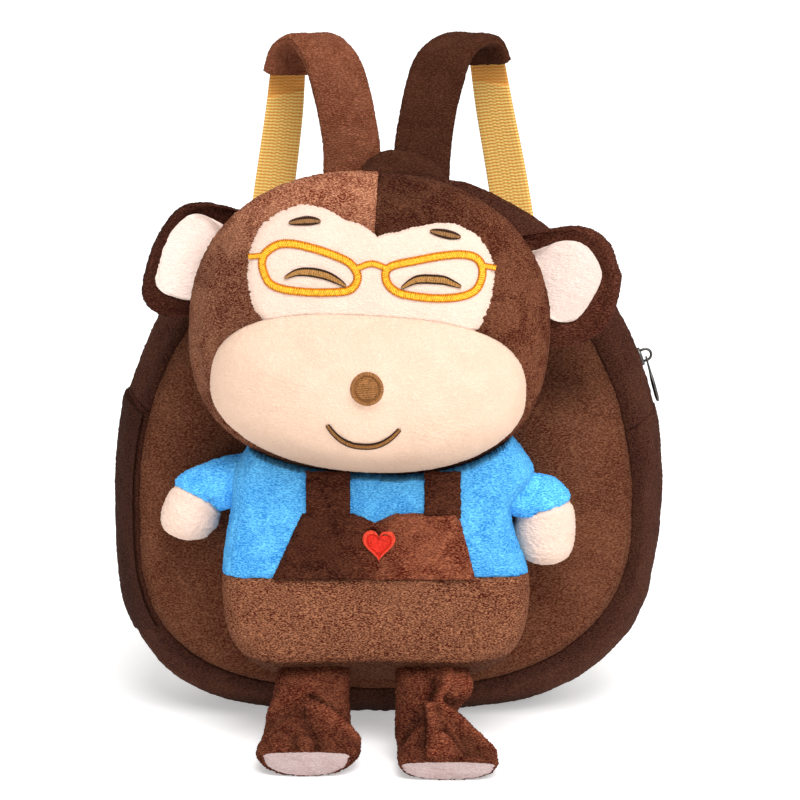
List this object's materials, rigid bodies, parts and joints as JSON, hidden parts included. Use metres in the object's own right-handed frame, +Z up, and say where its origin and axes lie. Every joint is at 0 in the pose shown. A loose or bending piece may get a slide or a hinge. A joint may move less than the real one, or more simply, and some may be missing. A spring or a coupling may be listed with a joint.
{
  "type": "plush animal backpack",
  "caption": "Toddler's hollow plush backpack with a zipped gusset, padded straps on webbing, a grab loop and a stuffed monkey doll sewn to its front.",
  "frame": {"origin": "middle of the whole outline, on the surface that the bag stands on", "axes": "+Z up, -Y towards the viewer of the doll's face, +X to that viewer's right"},
  "size_m": [0.2526, 0.2112, 0.3106],
  "materials": {
    "plush_mid": "short-pile brown plush with soft nap",
    "plush_dark": "short-pile dark brown plush",
    "plush_light": "short-pile brown plush, nap brushed to catch the light",
    "plush_trouser": "short-pile reddish brown plush",
    "peach_velour": "fine peach velour",
    "muzzle_velour": "fine peach velour, a little warmer",
    "pale_velour": "pale pinkish velour",
    "blue_velour": "bright blue velour",
    "webbing": "ribbed golden tan webbing",
    "zip_cloth": "woven zip tape with a coil",
    "brown_thread": "satin stitch embroidery",
    "yellow_thread": "satin stitch embroidery",
    "red_thread": "satin stitch embroidery",
    "gunmetal": "dark gunmetal plating"
  },
  "bodies": {
    "bag": {"bag_front": "plush_mid", "bag_back": "plush_dark", "gusset_lower": "plush_dark", "gusset_upper_front": "plush_dark", "gusset_upper_back": "plush_dark", "side_pocket": "plush_dark", "zip_tape": "zip_cloth", "zip_slider": "gunmetal", "strap_pad_left": "plush_mid", "strap_pad_right": "plush_mid", "strap_web_left": "webbing", "strap_web_right": "webbing", "grab_loop": "plush_dark", "head_left": "plush_light", "head_right": "plush_dark", "face_mask": "peach_velour", "muzzle": "muzzle_velour", "ear_left": "plush_dark", "ear_right": "plush_dark", "ear_inner_left": "pale_velour", "ear_inner_right": "pale_velour", "nose": "brown_thread", "smile": "brown_thread", "eye_left": "brown_thread", "eye_right": "brown_thread", "brow_left": "brown_thread", "brow_right": "brown_thread", "spectacles": "yellow_thread", "shirt": "blue_velour", "trousers": "plush_trouser", "bib": "plush_trouser", "brace_left": "plush_trouser", "brace_right": "plush_trouser", "heart": "red_thread", "sleeve_left": "blue_velour", "sleeve_right": "blue_velour", "hand_left": "peach_velour", "hand_right": "peach_velour", "leg_left": "plush_trouser", "leg_right": "plush_trouser", "sole_left": "pale_velour", "sole_right": "pale_velour"},
    "zip_pull": {"zip_puller": "gunmetal"}
  },
  "joints": [
    {"name": "zip_pull_swing", "type": "hinge", "parent": "bag", "child": "zip_pull", "pos_m": [0.11849, 0.02056, 0.16401], "axis": [0, -1, 0], "range_deg": [0, 150]}
  ]
}
